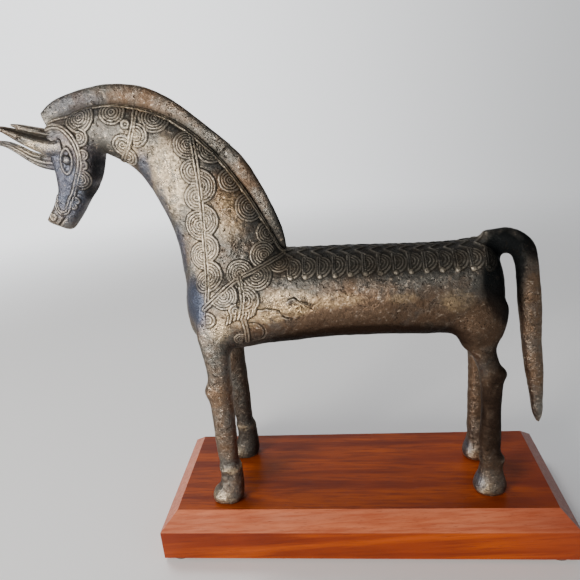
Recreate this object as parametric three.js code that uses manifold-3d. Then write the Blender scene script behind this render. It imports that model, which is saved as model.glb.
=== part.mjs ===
// A bronze horse figurine standing on a bevelled hardwood plinth.
//
// Millimetres, +Z up, the horse faces -X. The origin is at the middle of the footprint of the whole
// piece, on the surface that the felt pads rest on. The horse and the plinth are drawn in a frame of
// their own, with Z = 0 at the plinth's top and X = 0 at its middle, and moved into place at the end.

import * as THREE from "three";
import { mergeVertices } from "three/addons/utils/BufferGeometryUtils.js";
import Module from "manifold-3d";

const wasm = await Module();
wasm.setup();

// ---------------------------------------------------------------- driving dimensions

const GAP = 0.3; // clearance between pieces that touch

const PLINTH = { length: 228, depth: 89, height: 26.5, bevelRun: 9, bevelDrop: 8.6 };
const PAD = { diameter: 12, thickness: 2, fromEnd: 8.6, fromSide: 7.2 };

const SCREW = { shank: 4, length: 25, head: 7, headHeight: 2.6, hexAcross: 2.6, hexDepth: 1.6 };
const WASHER = { outer: 9, hole: 4.6, thickness: 0.9 };
const COUNTERBORE = { diameter: 10.5, depth: 12 };
const SCREW_CLEARANCE = 0.4; // radial, through the plinth
const HOOF_HOLE = { clearance: GAP, spare: 0.6 };

const HORSE_Y = -4.5; // the horse's middle plane stands a little in front of the plinth's
const WALL = 3.5; // thickness of the hollow-cast body and neck

const FRONT_LEG = { out: 21, screwX: -77 };
const REAR_LEG = { out: 15.5, screwX: 72.5 };
const RIGHT_FRONT_SET_BACK = 3.5; // the right forefoot stands this far behind the left one
const KNEE_HEIGHT = 71; // above the knee the right foreleg leans the other way
const EAR_OUT = 8;

// Stations of the cast shapes, seen from the side. Each is [x, z, x, z, half width]: the two ends of
// a chord across the piece and how far the piece bulges to each side of its middle plane there.

const BARREL = [
  [-90, 106, -90, 121, 3],
  [-88.8, 101, -88.8, 127, 9],
  [-86, 96.5, -86, 133, 15],
  [-81.5, 92, -81.5, 137.5, 20],
  [-74, 89.6, -74, 141, 24],
  [-62, 89.2, -62, 142.2, 26],
  [-48, 91.4, -48, 142.4, 25.5],
  [-30, 92.8, -30, 142, 24.5],
  [-5, 94, -5, 141.7, 24],
  [20, 94.2, 20, 141, 24],
  [40, 93.8, 40, 140.6, 24],
  [54, 93.4, 54, 141, 23.5],
  [63, 94, 63, 142.5, 22],
  [69.5, 95.5, 69.5, 142.5, 19],
  [73.5, 98, 73.5, 138, 15.5],
  [75.8, 102, 75.8, 128, 10],
  [76.8, 108, 76.8, 119, 4],
];

const NECK = [
  [-86, 118, -34, 128, 20],
  [-89.6, 131, -35.5, 141, 17.5],
  [-90.2, 145, -40, 152, 14.5],
  [-92.7, 158.3, -48, 168.5, 12],
  [-96.2, 169, -56, 182, 10.8],
  [-100.6, 178.7, -65, 194.5, 10],
  [-106.8, 188, -78, 207.5, 9.6],
  [-114.3, 193.7, -94, 216.5, 9.4],
  [-123, 198.8, -112, 220.8, 9.2],
  [-130, 203, -127, 220, 8.4],
  [-135, 207, -137, 217.5, 6],
];

const HEAD = [
  [-143, 216.5, -129, 216.5, 4],
  [-148, 213, -124.5, 213, 8],
  [-149.5, 208, -122.5, 208, 9.8],
  [-149, 202, -122, 202, 10.3],
  [-148.5, 195, -123.2, 195, 10.3],
  [-148, 188, -125.5, 188, 9.8],
  [-149, 181, -129, 181, 8.6],
  [-152.8, 174.5, -134.8, 173.5, 7.5],
  [-157, 169, -140, 166.8, 7],
  [-159, 166, -143.8, 162.3, 6.2],
  [-157, 163.6, -146.5, 159.5, 4],
];

const FRONT_CREST = [
  [-151.3, 219.5, -148.3, 209, 1.5],
  [-146.3, 223.4, -144, 212, 2],
  [-139.4, 226.4, -137.5, 215, 2.3],
  [-129, 229, -127.5, 217.5, 2.5],
  [-118, 230.4, -117.5, 218, 2.6],
  [-107.5, 230.2, -109, 217.5, 2.6],
  [-97, 228.2, -100.5, 216, 2.6],
  [-87.5, 223.7, -92, 213, 2.6],
  [-79.5, 218, -85, 208.5, 2.5],
  [-72, 211.6, -78, 203.5, 2.5],
  [-65, 205.4, -71.5, 197.5, 2.4],
  [-56.8, 197.7, -64, 190.5, 2.3],
];

const REAR_CREST = [
  [-56.2, 196.2, -63.4, 189.6, 2],
  [-52.6, 192, -59.5, 185, 2],
  [-48.5, 185.5, -55, 179.5, 2],
  [-44.7, 178, -50.5, 172, 1.9],
  [-41, 170, -46.5, 164, 1.8],
  [-37.6, 161.2, -42.5, 156, 1.7],
  [-34.6, 151, -39.5, 147, 1.5],
  [-33.6, 143.4, -37.5, 140.5, 1.1],
];

const EAR = [
  [-139, 201.5, -139, 207.5, 3],
  [-143, 200.8, -143, 209, 3],
  [-148, 201, -147.5, 210.2, 2.8],
  [-154, 203.2, -153.5, 211.6, 2.4],
  [-161, 207, -160.5, 213.2, 1.9],
  [-168, 211.4, -167.5, 214.6, 1.3],
  [-172.5, 213.6, -172.3, 215.2, 0.8],
];
const EAR_CUP = { out: 2.9, margin: 0.9, from: 1 }; // the hollow on the ear's outer face

const FORELOCK = [
  [-145, 189, -144.5, 199, 3.2],
  [-150, 190.5, -149.5, 199, 3.2],
  [-156, 192.2, -155, 199.8, 3],
  [-161.5, 195.3, -160, 201.6, 2.7],
  [-168, 200.3, -165.5, 204.7, 2.3],
  [-173, 203.7, -171, 207, 1.9],
  [-178, 205.3, -177, 208, 1.4],
  [-184, 206.8, -183.8, 207.8, 0.6],
];

const TAIL = [
  [66, 147, 66, 134, 5.5],
  [71, 147.2, 71, 133.8, 5.8],
  [76.5, 147.8, 75.5, 133.8, 6],
  [82, 147, 79, 134, 6],
  [88, 143.5, 81.3, 132, 6],
  [92.5, 138, 82.7, 128, 5.8],
  [95, 129, 83.6, 122, 5.7],
  [97.3, 115, 84.9, 111, 5.6],
  [98.7, 98, 87, 95.5, 5.4],
  [100, 82, 89, 80.5, 5.1],
  [101.6, 66, 92, 65, 4.6],
  [102.7, 52, 95, 51.5, 3.9],
  [103, 42, 98, 41.7, 2.7],
  [102, 35.6, 100.4, 35.5, 0.9],
];

const FORELEG = [
  [-80, 119, -65, 119, 2.5],
  [-82, 112, -63, 112, 4.6],
  [-82.3, 104, -63.8, 104, 6],
  [-81, 97, -64.5, 97, 6.7],
  [-79.6, 88, -65.3, 88, 6.8],
  [-79.3, 79, -66, 79, 6.5],
  [-80.8, 75, -66.2, 75, 6.6],
  [-82.3, 71, -66.4, 71, 6.8],
  [-80.4, 66, -66.7, 66, 6.4],
  [-79, 60, -67, 60, 6],
  [-78.8, 45, -68, 45, 5.6],
  [-78.7, 30, -69, 30, 5.4],
  [-78.8, 22, -67, 22, 6],
  [-79.8, 17, -67.2, 17, 6.2],
  [-83, 10, -68, 10, 7],
  [-85.3, 4, -68.3, 4, 7.6],
  [-84.8, GAP, -68.8, GAP, 7.4],
];

const HIND_LEG = [
  [55, 120, 72, 120, 4],
  [50.5, 113, 74.5, 113, 7.2],
  [48.8, 105, 75.5, 105, 8.3],
  [50, 98, 74.3, 98, 8.5],
  [54, 91, 72.3, 91, 8],
  [59.5, 83, 72.4, 83, 7],
  [62.3, 76, 74.8, 76, 6.3],
  [63.8, 70.5, 78.2, 70.5, 6.3],
  [64.6, 65, 76.8, 65, 6],
  [65.4, 55, 76.3, 55, 5.6],
  [66.2, 38, 76.7, 38, 5.5],
  [66.8, 26, 77.2, 26, 5.6],
  [66.8, 19, 79, 19, 6],
  [66, 14, 79.3, 14, 6.2],
  [64.4, 8, 80.5, 8, 7],
  [63.6, 3, 81.4, 3, 7.5],
  [64.4, GAP, 81, GAP, 7.3],
];

// ---------------------------------------------------------------- geometry helpers

function solid(geometry) {
  const bare = geometry.clone();
  bare.deleteAttribute("normal");
  bare.deleteAttribute("uv");
  const merged = mergeVertices(bare, 1e-4);
  return new wasm.Manifold(
    new wasm.Mesh({
      numProp: 3,
      vertProperties: new Float32Array(merged.attributes.position.array),
      triVerts: new Uint32Array(merged.index.array),
    }),
  );
}

function geometryOf(manifold) {
  const { vertProperties, triVerts } = manifold.getMesh();
  const geometry = new THREE.BufferGeometry();
  geometry.setAttribute("position", new THREE.BufferAttribute(vertProperties, 3));
  geometry.setIndex(new THREE.BufferAttribute(triVerts, 1));
  return geometry;
}

// Six times the volume that the triangles enclose: negative when they face inwards.
function signedVolume(points, triangles) {
  return triangles.reduce((sum, [a, b, c]) => {
    const cross = new THREE.Vector3().crossVectors(points[b], points[c]);
    return sum + points[a].dot(cross);
  }, 0);
}

// A closed skin over a row of rings that all have the same number of points.
function skin(rings) {
  const count = rings[0].length;
  const points = rings.flat();
  const triangles = [];
  for (let r = 0; r + 1 < rings.length; r++) {
    for (let i = 0; i < count; i++) {
      const next = (i + 1) % count;
      const [a, b] = [r * count + i, r * count + next];
      triangles.push([a, b, b + count], [a, b + count, a + count]);
    }
  }
  const last = (rings.length - 1) * count;
  for (let i = 1; i + 1 < count; i++) {
    triangles.push([0, i + 1, i], [last, last + i, last + i + 1]);
  }
  if (signedVolume(points, triangles) < 0) triangles.forEach((t) => t.reverse());
  const geometry = new THREE.BufferGeometry().setFromPoints(points);
  geometry.setIndex(triangles.flat());
  return geometry;
}

// A superellipse around the chord between two side-view points, bulging `half` to each side.
function chordRing(start, end, half, { segments, power }) {
  const middle = new THREE.Vector2().addVectors(start, end).multiplyScalar(0.5);
  const reach = new THREE.Vector2().subVectors(end, start).multiplyScalar(0.5);
  return Array.from({ length: segments }, (_, i) => {
    const angle = ((i + 0.5) / segments) * 2 * Math.PI;
    const along = Math.sign(Math.cos(angle)) * Math.abs(Math.cos(angle)) ** (2 / power);
    const across = Math.sign(Math.sin(angle)) * Math.abs(Math.sin(angle)) ** (2 / power);
    return new THREE.Vector3(middle.x + reach.x * along, half * across, middle.y + reach.y * along);
  });
}

// Stretches each station by `grow` on every side, and the end stations outwards by it too.
function grown(stations, grow) {
  const wider = stations.map(([x1, z1, x2, z2, half]) => {
    const chord = new THREE.Vector2(x2 - x1, z2 - z1).setLength(grow);
    return [x1 - chord.x, z1 - chord.y, x2 + chord.x, z2 + chord.y, half + grow];
  });
  const shift = (from, to) => {
    const away = new THREE.Vector2(from[0] + from[2] - to[0] - to[2], from[1] + from[3] - to[1] - to[3]);
    away.setLength(grow);
    return [from[0] + away.x, from[1] + away.y, from[2] + away.x, from[3] + away.y, from[4]];
  };
  const end = wider.length - 1;
  return [shift(wider[0], wider[1]), ...wider.slice(1, end), shift(wider[end], wider[end - 1])];
}

// A smooth solid through stations of the form [x, z, x, z, half width].
function loft(stations, { perStation = 1, segments = 16, power = 2 } = {}) {
  const start = new THREE.SplineCurve(stations.map(([x, z]) => new THREE.Vector2(x, z)));
  const end = new THREE.SplineCurve(stations.map(([, , x, z]) => new THREE.Vector2(x, z)));
  const half = new THREE.SplineCurve(stations.map((s, i) => new THREE.Vector2(i, s[4])));
  const steps = (stations.length - 1) * perStation;
  const rings = [];
  for (let i = 0; i <= steps; i++) {
    const t = i / steps;
    rings.push(chordRing(start.getPoint(t), end.getPoint(t), half.getPoint(t).y, { segments, power }));
  }
  return solid(skin(rings));
}

function cylinder(diameter, bottom, top, x, y, segments = 24) {
  const shape = new THREE.CylinderGeometry(diameter / 2, diameter / 2, top - bottom, segments);
  shape.rotateX(Math.PI / 2);
  return solid(shape.translate(x, y, (bottom + top) / 2));
}

// ---------------------------------------------------------------- the cast bronze

const barrelShape = (grow) => loft(grown(BARREL, grow), { segments: 24, power: 2.25 });
const neckShape = (grow) => loft(grown(NECK, grow), { perStation: 2, segments: 20, power: 2.2 });
const headShape = (grow) => loft(grown(HEAD, grow), { segments: 18, power: 2.7 });

// The core that the barrel and the neck were cast around, one hollow from rump to poll.
function core() {
  const barrel = loft(grown(BARREL.slice(2, -2), -WALL), { segments: 14, power: 2.25 });
  const neck = loft(grown(NECK.slice(0, -2), -WALL), { segments: 12, power: 2.2 });
  return barrel.add(neck);
}

function torso() {
  return barrelShape(0).subtract(core());
}

function neck() {
  return neckShape(0).subtract(barrelShape(GAP)).subtract(headShape(GAP)).subtract(core());
}

function head() {
  return headShape(0);
}

function crest(stations) {
  const blade = loft(stations, { perStation: 2, segments: 10, power: 2.4 });
  return blade.subtract(neckShape(GAP)).subtract(headShape(GAP)).subtract(barrelShape(GAP));
}

// One ear; `side` is -1 on the horse's left and 1 on its right.
function ear(side) {
  const leaf = loft(EAR, { segments: 14 }).translate([0, side * EAR_OUT, 0]);
  const cup = loft(grown(EAR.slice(EAR_CUP.from), -EAR_CUP.margin / 2), { segments: 10 });
  const hollow = cup.translate([0, side * (EAR_OUT + EAR_CUP.out), 0]);
  return leaf.subtract(hollow).subtract(headShape(GAP));
}

function forelock() {
  return loft(FORELOCK, { segments: 10 }).subtract(headShape(GAP));
}

function tail() {
  return loft(TAIL, { perStation: 2, segments: 12 }).subtract(barrelShape(GAP));
}

// A leg with the blind hole that its screw bites into. `side` is -1 on the horse's left. The foot
// stands `setBack` to the rear, and the leg leans by it, turning about the knee.
function leg(stations, { out, screwX }, side, setBack) {
  const hole = SCREW.shank + 2 * HOOF_HOLE.clearance;
  const shift = (z) => setBack * (1 - z / KNEE_HEIGHT);
  const leaning = stations.map(([x1, z1, x2, z2, half]) => [x1 + shift(z1), z1, x2 + shift(z2), z2, half]);
  return loft(leaning, { segments: 14, power: 2.3 })
    .translate([0, side * out, 0])
    .subtract(cylinder(hole, -GAP, screwReach() + HOOF_HOLE.spare, screwX + setBack, side * out))
    .subtract(barrelShape(GAP));
}

// ---------------------------------------------------------------- the plinth and its fittings

const underside = -PLINTH.height;
const boreCeiling = underside + COUNTERBORE.depth;
const headTop = boreCeiling - WASHER.thickness - 2 * GAP;

// How far the tip of a mounting screw stands above the plinth's top.
function screwReach() {
  return headTop + SCREW.length;
}

function rectangle(length, depth, z) {
  const corners = [
    [1, 1],
    [-1, 1],
    [-1, -1],
    [1, -1],
  ];
  return corners.map(([x, y]) => new THREE.Vector3((x * length) / 2, (y * depth) / 2, z));
}

function plinth(screwPlaces) {
  const { length, depth, bevelRun, bevelDrop } = PLINTH;
  const block = solid(
    skin([
      rectangle(length, depth, underside),
      rectangle(length, depth, -bevelDrop),
      rectangle(length - 2 * bevelRun, depth - 2 * bevelRun, 0),
    ]),
  );
  const through = SCREW.shank + 2 * SCREW_CLEARANCE;
  return screwPlaces.reduce(
    (wood, [x, y]) =>
      wood
        .subtract(cylinder(COUNTERBORE.diameter, underside - 1, boreCeiling, x, y))
        .subtract(cylinder(through, boreCeiling - 1, 1, x, y)),
    block,
  );
}

function pad(x, y) {
  return cylinder(PAD.diameter, underside - PAD.thickness, underside - GAP, x, y, 32);
}

function lathe(profile, segments) {
  const shape = new THREE.LatheGeometry(profile.map(([r, z]) => new THREE.Vector2(r, z)), segments);
  return solid(shape.rotateX(Math.PI / 2));
}

// A button-head screw with a hexagon socket, pointing up.
function screw(x, y) {
  const [headRadius, shankRadius] = [SCREW.head / 2, SCREW.shank / 2];
  const bottom = headTop - SCREW.headHeight;
  const tip = screwReach();
  const body = lathe(
    [
      [0, bottom],
      [headRadius * 0.7, bottom],
      [headRadius, bottom + SCREW.headHeight * 0.45],
      [headRadius, headTop],
      [shankRadius, headTop],
      [shankRadius, tip - 0.8],
      [shankRadius * 0.6, tip],
      [0, tip],
    ],
    20,
  );
  const socket = cylinder(SCREW.hexAcross, bottom - 1, bottom + SCREW.hexDepth, 0, 0, 6);
  return body.subtract(socket).translate([x, y, 0]);
}

function washer(x, y) {
  const [low, high] = [headTop + GAP, headTop + GAP + WASHER.thickness];
  const [inner, outer] = [WASHER.hole / 2, WASHER.outer / 2];
  const profile = [
    [inner, low],
    [outer, low],
    [outer, high],
    [inner, high],
    [inner, low],
  ];
  return lathe(profile, 24).translate([x, y, 0]);
}

// ---------------------------------------------------------------- materials

const bronze = (color, roughness) => ({ color, roughness, metalness: 1 });
const MATERIALS = {
  bodyBronze: bronze(0x5a4636, 0.42),
  neckBronze: bronze(0x6b6252, 0.4),
  headBronze: bronze(0x4c4a44, 0.45),
  crestBronze: bronze(0x5e5348, 0.4),
  legBronze: bronze(0x4a423a, 0.42),
  tailBronze: bronze(0x4b3e33, 0.42),
  mahogany: { color: 0x7a2f1c, roughness: 0.38, metalness: 0 },
  felt: { color: 0x2c2420, roughness: 0.95, metalness: 0 },
  steel: { color: 0x9a9c9e, roughness: 0.35, metalness: 1 },
};

function piece(name, manifold, look) {
  const mesh = new THREE.Mesh(geometryOf(manifold), new THREE.MeshStandardMaterial(MATERIALS[look]));
  mesh.name = name;
  return mesh;
}

// ---------------------------------------------------------------- assembly

const LEGS = [
  { name: "front_left", stations: FORELEG, place: FRONT_LEG, side: -1, setBack: 0 },
  { name: "front_right", stations: FORELEG, place: FRONT_LEG, side: 1, setBack: RIGHT_FRONT_SET_BACK },
  { name: "rear_left", stations: HIND_LEG, place: REAR_LEG, side: -1, setBack: 0 },
  { name: "rear_right", stations: HIND_LEG, place: REAR_LEG, side: 1, setBack: 0 },
];

const horse = new THREE.Group();
horse.add(
  piece("torso", torso(), "bodyBronze"),
  piece("neck", neck(), "neckBronze"),
  piece("head", head(), "headBronze"),
  piece("crest_front", crest(FRONT_CREST), "crestBronze"),
  piece("crest_rear", crest(REAR_CREST), "crestBronze"),
  piece("left_ear", ear(-1), "headBronze"),
  piece("right_ear", ear(1), "headBronze"),
  piece("forelock", forelock(), "headBronze"),
  piece("tail", tail(), "tailBronze"),
);
for (const { name, stations, place, side, setBack } of LEGS) {
  horse.add(piece(`${name}_leg`, leg(stations, place, side, setBack), "legBronze"));
}
horse.position.y = HORSE_Y;

const screwPlaces = LEGS.map(({ place, side, setBack }) => [
  place.screwX + setBack,
  side * place.out + HORSE_Y,
]);
const stand = new THREE.Group();
stand.add(piece("plinth", plinth(screwPlaces), "mahogany"));
LEGS.forEach(({ name }, i) => {
  stand.add(piece(`${name}_screw`, screw(...screwPlaces[i]), "steel"));
  stand.add(piece(`${name}_washer`, washer(...screwPlaces[i]), "steel"));
});
for (const [along, x] of [
  ["front", -1],
  ["rear", 1],
]) {
  for (const [across, y] of [
    ["left", -1],
    ["right", 1],
  ]) {
    const [cornerX, cornerY] = [PLINTH.length / 2 - PAD.fromEnd, PLINTH.depth / 2 - PAD.fromSide];
    stand.add(piece(`${along}_${across}_pad`, pad(x * cornerX, y * cornerY), "felt"));
  }
}

// The forelock's tip is the foremost point and the plinth's end the rearmost one.
const foremost = FORELOCK.at(-1)[0];
const rearmost = PLINTH.length / 2;
const assembly = new THREE.Group();
assembly.add(horse, stand);
assembly.position.set(-(foremost + rearmost) / 2, 0, PLINTH.height + PAD.thickness);

const figurine = new THREE.Group();
figurine.add(assembly);
export default figurine;
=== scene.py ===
# A cast bronze horse on a bevelled mahogany plinth: the fine surface, the finishes and the studio.
#
# Every shape below is written in millimetres in the horse's own frame: X runs from the plinth's
# middle towards the tail, Y from the horse's middle plane away from the viewer, Z from the plinth's
# top. HERE turns that frame into the part's frame, in metres.

import math

import bpy
import numpy as np
from mathutils import Matrix, Vector
from mathutils.bvhtree import BVHTree


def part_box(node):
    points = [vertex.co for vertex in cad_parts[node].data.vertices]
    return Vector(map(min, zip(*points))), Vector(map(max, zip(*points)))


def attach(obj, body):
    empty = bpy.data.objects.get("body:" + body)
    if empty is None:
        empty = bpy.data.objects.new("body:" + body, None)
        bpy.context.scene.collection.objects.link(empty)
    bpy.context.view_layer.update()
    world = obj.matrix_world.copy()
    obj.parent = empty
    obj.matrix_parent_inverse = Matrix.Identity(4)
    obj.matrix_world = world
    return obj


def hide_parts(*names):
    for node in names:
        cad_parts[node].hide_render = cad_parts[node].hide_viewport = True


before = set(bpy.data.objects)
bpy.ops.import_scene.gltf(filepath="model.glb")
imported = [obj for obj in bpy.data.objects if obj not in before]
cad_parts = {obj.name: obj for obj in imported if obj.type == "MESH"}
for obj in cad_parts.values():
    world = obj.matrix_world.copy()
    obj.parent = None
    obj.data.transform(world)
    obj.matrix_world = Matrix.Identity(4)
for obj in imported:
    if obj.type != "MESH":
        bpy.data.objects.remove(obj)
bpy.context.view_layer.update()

MM = 0.001
plinth_low, plinth_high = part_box("plinth")
torso_low, torso_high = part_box("torso")
plinth_x, plinth_y = ((plinth_low[i] + plinth_high[i]) / 2 for i in (0, 1))
HERE = np.array([plinth_x, (torso_low.y + torso_high.y) / 2, plinth_high.z])


def add_object(name, data):
    obj = bpy.data.objects.new(name, data)
    bpy.context.scene.collection.objects.link(obj)
    return obj


# --- camera

# Millimetres and degrees in the horse's frame, except that Y is from the plinth's middle.
CAMERA_AT = (-2.3, -286.6, 221.7)
CAMERA_YAW, CAMERA_PITCH, CAMERA_ROLL = -6.306, -19.834, -4.749
CAMERA_LENS, CAMERA_SENSOR = 34.76, 36.0
CAMERA_CLIP = (0.01, 50)


def add_camera():
    yaw, pitch, roll = (math.radians(a) for a in (CAMERA_YAW, CAMERA_PITCH, CAMERA_ROLL))
    flat = math.cos(pitch)
    ahead = Vector((math.sin(yaw) * flat, math.cos(yaw) * flat, math.sin(pitch)))
    level = Vector((math.cos(yaw), -math.sin(yaw), 0))
    upright = level.cross(ahead)
    right = math.cos(roll) * level + math.sin(roll) * upright
    up = -math.sin(roll) * level + math.cos(roll) * upright
    data = bpy.data.cameras.new("camera")
    data.lens, data.sensor_width = CAMERA_LENS, CAMERA_SENSOR
    data.clip_start, data.clip_end = CAMERA_CLIP
    camera = add_object("camera", data)
    turn = Matrix((right, up, -ahead)).transposed().to_4x4()
    x, y, z = (MM * c for c in CAMERA_AT)
    camera.matrix_world = Matrix.Translation((plinth_x + x, plinth_y + y, HERE[2] + z)) @ turn
    bpy.context.scene.camera = camera


add_camera()

# --- stations of the cast shapes

# Each is [x, z, x, z, half width]: the two ends of a chord across the piece, seen from the side,
# and how far the piece bulges to each side of its middle plane there.

BARREL = [
    [-90, 106, -90, 121, 3], [-88.8, 101, -88.8, 127, 9], [-86, 96.5, -86, 133, 15],
    [-81.5, 92, -81.5, 137.5, 20], [-74, 89.6, -74, 141, 24], [-62, 89.2, -62, 142.2, 26],
    [-48, 91.4, -48, 142.4, 25.5], [-30, 92.8, -30, 142, 24.5], [-5, 94, -5, 141.7, 24],
    [20, 94.2, 20, 141, 24], [40, 93.8, 40, 140.6, 24], [54, 93.4, 54, 141, 23.5],
    [63, 94, 63, 142.5, 22], [69.3, 95, 68, 142.2, 19], [74, 96.5, 72.8, 137, 15.5],
    [76.8, 100, 76.3, 127.5, 10.5], [78.2, 106, 78, 118, 4.5],
]

NECK = [
    [-86, 118, -34, 128, 20], [-89.6, 131, -35.5, 141, 17.5], [-90.2, 145, -40, 152, 14.5],
    [-92.7, 158.3, -48, 168.5, 12], [-96.2, 169, -56, 182, 10.8], [-100.6, 178.7, -65, 194.5, 10],
    [-106.8, 188, -78, 207.5, 9.6], [-114.3, 193.7, -94, 216.5, 9.4], [-123, 198.8, -112, 220.8, 9.2],
    [-130, 203, -127, 220, 8.4], [-135, 207, -137, 217.5, 6],
]

HEAD = [
    [-143, 216.5, -129, 216.5, 4], [-148, 213, -124.5, 213, 8], [-149.5, 208, -122.5, 208, 9.8],
    [-149, 202, -122, 202, 10.3], [-148.5, 195, -123.2, 195, 10.3], [-148, 188, -125.5, 188, 9.8],
    [-149, 181, -129, 181, 8.6], [-152.8, 174.5, -134.8, 173.5, 7.5], [-157, 169, -140, 166.8, 7],
    [-159, 166, -143.8, 162.3, 6.2], [-157, 163.6, -146.5, 159.5, 4],
]

FRONT_CREST = [
    [-151.3, 219.5, -148.3, 209, 1.5], [-146.3, 223.4, -144, 212, 2], [-139.4, 226.4, -137.5, 215, 2.3],
    [-129, 229, -127.5, 217.5, 2.5], [-118, 230.4, -117.5, 218, 2.6], [-107.5, 230.2, -109, 217.5, 2.6],
    [-97, 228.2, -100.5, 216, 2.6], [-87.5, 223.7, -92, 213, 2.6], [-79.5, 218, -85, 208.5, 2.5],
    [-72, 211.6, -78, 203.5, 2.5], [-65, 205.4, -71.5, 197.5, 2.4], [-56.8, 197.7, -64, 190.5, 2.3],
]

REAR_CREST = [
    [-58.2, 197.6, -65.2, 191.2, 1.9], [-56.2, 196, -63.4, 189.6, 2], [-52.6, 192, -59.5, 185, 2],
    [-48.5, 185.5, -55, 179.5, 2], [-44.7, 178, -50.5, 172, 1.9], [-41, 170, -46.5, 164, 1.8],
    [-37.6, 161.2, -42.5, 156, 1.7], [-34.6, 151, -39.5, 147, 1.5], [-33.6, 143.4, -37.5, 140.5, 1.1],
]

EAR = [
    [-139, 199, -139, 207.5, 3], [-143, 198.3, -143, 209, 3.2], [-148, 199, -147.5, 210.2, 3.1],
    [-154, 201.8, -153.5, 211.6, 2.7], [-161, 206, -160.5, 213.2, 2.1], [-168, 211, -167.5, 214.8, 1.4],
    [-173, 213.8, -172.8, 215.4, 0.8],
]
EAR_OUT, EAR_HOLLOW = 8, 1.1

FORELOCK = [
    [-145, 189, -144.5, 199, 3.2], [-150, 190.5, -149.5, 199, 3.2], [-156, 192.2, -155, 199.8, 3],
    [-161.5, 195.3, -160, 201.6, 2.7], [-168, 200.3, -165.5, 204.7, 2.3], [-173, 203.7, -171, 207, 1.9],
    [-178, 205.3, -177, 208, 1.4], [-184, 206.8, -183.8, 207.8, 0.6],
]
FORELOCK_GROOVES, FORELOCK_CUT = (0.42, -0.32), 0.13

TAIL = [
    [66, 147, 66, 134, 5.5], [71, 147.2, 71, 133.8, 5.8], [76.5, 147.8, 75.5, 133.8, 6],
    [82, 147, 79, 134, 6], [88, 143.5, 81.3, 132, 6], [92.5, 138, 82.7, 128, 5.8],
    [95, 129, 83.6, 122, 5.7], [97.3, 115, 84.9, 111, 5.6], [98.7, 98, 87, 95.5, 5.4],
    [100, 82, 89, 80.5, 5.1], [101.6, 66, 92, 65, 4.6], [102.7, 52, 94.6, 51.5, 4.1],
    [103, 42, 96.8, 41.7, 3.3], [102.5, 36, 98.9, 35.8, 1.9], [101.7, 33.6, 100.3, 33.5, 0.7],
]

# The legs' chords are level: [x, x, z, half width].

FORELEG = [
    [-80, -65, 119, 2.5], [-82, -63, 112, 4.6], [-82.3, -63.8, 104, 6], [-81, -64.5, 97, 6.7],
    [-79.6, -65.3, 88, 6.8], [-79.3, -66, 79, 6.5], [-80.8, -66.2, 75, 6.6], [-82.3, -66.4, 71, 6.8],
    [-80.4, -66.7, 66, 6.4], [-80, -66.6, 60, 6.3], [-80, -67, 45, 6], [-79.6, -67.9, 32, 5.7],
    [-79.2, -68.2, 26, 5.6], [-80, -67, 22.5, 6.3], [-79.5, -67, 18.5, 6], [-80.3, -66.8, 12.5, 6.3],
    [-82, -66.9, 9, 6.8], [-84.8, -67, 6, 7.6], [-85.7, -67.2, 3.5, 7.9], [-85, -67.9, 1, 7.6],
    [-83.8, -69, 0, 7],
]

HIND_LEG = [
    [55, 72, 120, 4], [50.5, 77, 113, 7.2], [48.8, 77, 105, 8.3], [50, 75.2, 98, 8.5],
    [54, 72.3, 91, 8], [58.8, 72.4, 85.5, 7.1], [61.8, 74.6, 79, 6.4], [63.4, 78.2, 74, 6.3],
    [64.4, 76.4, 68, 6], [65.1, 76.3, 55, 5.7], [64.9, 76.7, 38, 5.7], [65.2, 77, 26, 5.8],
    [65.1, 79.4, 21.5, 6.3], [65.7, 78.6, 17, 6], [64.9, 79.2, 11.5, 6.4], [63.2, 80.8, 7, 7.4],
    [62.6, 81.4, 3.5, 7.8], [63.2, 80.8, 1, 7.6], [64.6, 79.8, 0, 7],
]

FRONT_LEG_OUT, REAR_LEG_OUT = 21, 15.5
RIGHT_FRONT_SET_BACK, KNEE_HEIGHT = 3.5, 71

# --- arrays and meshes


def catmull(points, t):
    """Points on the uniform Catmull-Rom curve through points, at t in stations."""
    last = len(points) - 1
    i = np.clip(np.floor(t).astype(int), 0, last)
    w = (t - i)[:, None]
    a, b = points[np.maximum(i - 1, 0)], points[i]
    c, d = points[np.minimum(i + 1, last)], points[np.minimum(i + 2, last)]
    u, v = (c - a) / 2, (d - b) / 2
    return (2 * b - 2 * c + u + v) * w**3 + (3 * c - 3 * b - 2 * u - v) * w**2 + u * w + b


def loft(stations, step, segments, power, side_shift=0.0):
    """Superellipse rings of points, about step apart along the stations."""
    s = np.array(stations, float)
    stops = [0.0]
    for i in range(len(s) - 1):
        run = max(np.hypot(*(s[i + 1, :2] - s[i, :2])), np.hypot(*(s[i + 1, 2:4] - s[i, 2:4])))
        count = max(1, round(run / step))
        stops += [i + (k + 1) / count for k in range(count)]
    t = np.array(stops)
    at = catmull(s, t)
    angle = (np.arange(segments) + 0.5) / segments * 2 * np.pi
    along = np.sign(np.cos(angle)) * np.abs(np.cos(angle)) ** (2 / power)
    across = np.sign(np.sin(angle)) * np.abs(np.sin(angle)) ** (2 / power)
    middle, reach = (at[:, :2] + at[:, 2:4]) / 2, (at[:, 2:4] - at[:, :2]) / 2
    ring = np.empty((len(t), segments, 3))
    ring[..., 0] = middle[:, 0, None] + reach[:, 0, None] * along
    ring[..., 1] = at[:, 4, None] * across + side_shift
    ring[..., 2] = middle[:, 1, None] + reach[:, 1, None] * along
    return ring


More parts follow.
